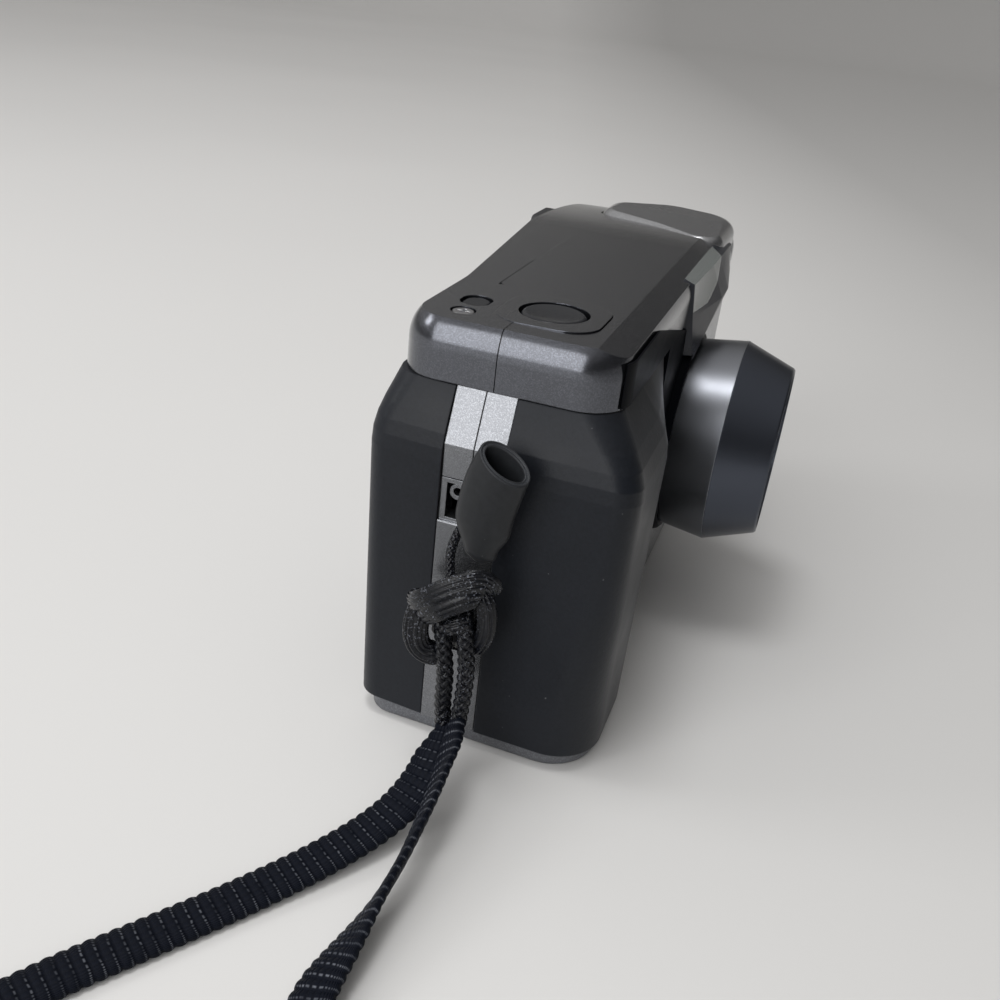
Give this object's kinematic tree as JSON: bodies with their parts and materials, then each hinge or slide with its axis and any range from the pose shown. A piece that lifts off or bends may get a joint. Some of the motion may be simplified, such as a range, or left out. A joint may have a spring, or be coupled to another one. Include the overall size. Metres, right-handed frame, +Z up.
{
  "type": "compact film camera",
  "caption": "Compact film camera with a rubber grip, telescoping zoom lens, hinged film door, release button, window prow, flash pod and braided wrist strap.",
  "frame": {"origin": "middle of the tripod socket's mouth, on the flat under side", "axes": "+Z up; -Y is the front with the lens; +X runs from the grip end to the hinge end"},
  "size_m": [0.2375, 0.0768, 0.0683],
  "materials": {
    "satin_metal": "satin metallic paint on the end strip and the lower shell",
    "dark_metal": "dark satin paint of the top cover",
    "base_metal": "satin metallic paint",
    "grip_rubber": "fine matte rubber",
    "prow_black": "dark semi-gloss",
    "pod_grey": "pale satin",
    "pale_glass": "clear, pale behind",
    "clear_glass": "clear",
    "dark_glass": "dark clear",
    "lens_glass": "coated",
    "ring_metal": "satin turned",
    "lens_black": "dark satin",
    "inner_black": "matte",
    "frame_black": "matte",
    "steel": "satin",
    "bright_steel": "polished",
    "gear_white": "matte",
    "motor_steel": "satin",
    "cell_wrap": "plain wrap",
    "capacitor_wrap": "plain wrap",
    "board_green": "satin",
    "button_black": "satin with a bright rim",
    "key_black": "satin",
    "reflector": "bright",
    "cord_black": "braided",
    "webbing_black": "ribbed weave",
    "sleeve_rubber": "matte"
  },
  "bodies": {
    "camera": {"front_cover": "satin_metal", "base_plate": "base_metal", "top_cover_front": "dark_metal", "top_cover_rear": "dark_metal", "front_grip": "grip_rubber", "window_housing": "prow_black", "front_window": "pale_glass", "flash_housing": "pod_grey", "flash_window": "clear_glass", "flash_reflector": "reflector", "flash_tube": "clear_glass", "flash_capacitor": "capacitor_wrap", "eyepiece_frame": "inner_black", "eyepiece_lens": "clear_glass", "viewfinder_block": "inner_black", "af_module": "inner_black", "lens_shroud": "lens_black", "lens_band": "ring_metal", "lens_bezel": "lens_black", "lens_housing": "inner_black", "zoom_motor": "motor_steel", "main_frame": "frame_black", "wind_motor": "motor_steel", "hinge_pin": "steel", "battery": "cell_wrap", "battery_contacts": "steel", "circuit_board": "board_green", "shutter_collar": "dark_metal", "tripod_socket": "steel", "strap_lug": "steel", "lcd_window": "dark_glass", "case_screws": "bright_steel", "strap_cord": "cord_black", "strap_sleeve": "sleeve_rubber", "strap_knot": "cord_black", "strap_strands": "cord_black", "strap_webbing": "webbing_black"},
    "door": {"back_door": "satin_metal", "rear_grip": "grip_rubber", "film_window": "dark_glass", "pressure_plate": "steel", "plate_spring": "steel"},
    "latch": {"door_latch": "key_black"},
    "release_button": {"shutter_button": "button_black"},
    "mode_key": {"mode_button": "button_black"},
    "zoom_key": {"zoom_rocker": "key_black"},
    "outer_barrel": {"zoom_barrel": "lens_black"},
    "lens_barrel": {"inner_barrel": "lens_black", "front_lens": "lens_glass", "rear_lens": "lens_glass", "shutter_unit": "inner_black"},
    "left_blade": {"barrier_blade_left": "inner_black"},
    "right_blade": {"barrier_blade_right": "inner_black"},
    "cam": {"cam_ring": "inner_black"},
    "battery_lid": {"battery_door": "base_metal"},
    "pinion": {"wind_pinion": "steel"},
    "idler": {"wind_idler": "gear_white"},
    "spool": {"take_up_spool": "frame_black"},
    "fork": {"rewind_fork": "gear_white"},
    "roller": {"film_roller": "inner_black"}
  },
  "joints": [
    {"name": "door_hinge", "type": "hinge", "parent": "camera", "child": "door", "pos_m": [0.06075, 0, 0.028], "axis": [0, 0, -1], "range_deg": [0, 110]},
    {"name": "latch_slide", "type": "slide", "parent": "camera", "child": "latch", "axis": [0, 0, -1], "range_m": [0, 0.003], "stiffness_N_per_m": 300},
    {"name": "release_press", "type": "slide", "parent": "camera", "child": "release_button", "axis": [0, 0, -1], "range_m": [0, 0.0012], "stiffness_N_per_m": 1200},
    {"name": "mode_press", "type": "slide", "parent": "camera", "child": "mode_key", "axis": [0, 0, -1], "range_m": [0, 0.0005], "stiffness_N_per_m": 1500},
    {"name": "zoom_rock", "type": "hinge", "parent": "camera", "child": "zoom_key", "pos_m": [-0.04175, 0.013, 0.063], "axis": [0, 0, 1], "range_deg": [-5, 5], "stiffness_Nm_per_rad": 0.08},
    {"name": "zoom_extend", "type": "slide", "parent": "camera", "child": "outer_barrel", "axis": [0, -1, 0], "range_m": [0, 0.014]},
    {"name": "inner_extend", "type": "slide", "parent": "outer_barrel", "child": "lens_barrel", "axis": [0, -1, 0], "range_m": [0, 0.009]},
    {"name": "left_blade_open", "type": "slide", "parent": "lens_barrel", "child": "left_blade", "axis": [-1, 0, 0], "range_m": [0, 0.0062]},
    {"name": "right_blade_open", "type": "slide", "parent": "lens_barrel", "child": "right_blade", "axis": [1, 0, 0], "range_m": [0, 0.0062]},
    {"name": "cam_turn", "type": "hinge", "parent": "camera", "child": "cam", "pos_m": [0.00595, 0, 0.0348], "axis": [0, -1, 0], "range_deg": [0, 60]},
    {"name": "battery_lid_hinge", "type": "hinge", "parent": "camera", "child": "battery_lid", "pos_m": [-0.03615, -0.0126, 0.0014], "axis": [0, -1, 0], "range_deg": [0, 90]},
    {"name": "spool_turn", "type": "hinge", "parent": "camera", "child": "spool", "pos_m": [-0.031, 0.001, 0.03], "axis": [0, 0, 1], "continuous": true},
    {"name": "idler_turn", "type": "hinge", "parent": "camera", "child": "idler", "pos_m": [-0.04245, 0.00092, 0.0052], "axis": [0, 0, 1], "continuous": true},
    {"name": "pinion_turn", "type": "hinge", "parent": "camera", "child": "pinion", "pos_m": [-0.04875, 0.0056, 0.0052], "axis": [0, 0, 1], "continuous": true},
    {"name": "fork_turn", "type": "hinge", "parent": "camera", "child": "fork", "pos_m": [0.04235, -0.0016, 0.008], "axis": [0, 0, 1], "continuous": true},
    {"name": "roller_turn", "type": "hinge", "parent": "camera", "child": "roller", "pos_m": [-0.0163, 0.0079, 0.03], "axis": [0, 0, 1], "continuous": true}
  ],
  "couplings": [
    {"joint": "inner_extend", "follows": "zoom_extend", "ratio": 0.64286},
    {"joint": "left_blade_open", "follows": "zoom_extend", "ratio": 0.44286},
    {"joint": "right_blade_open", "follows": "zoom_extend", "ratio": 0.44286},
    {"joint": "cam_turn", "follows": "zoom_extend", "rad_per_m": 74.792},
    {"joint": "idler_turn", "follows": "spool_turn", "ratio": -1.1111},
    {"joint": "pinion_turn", "follows": "spool_turn", "ratio": 2.5}
  ]
}
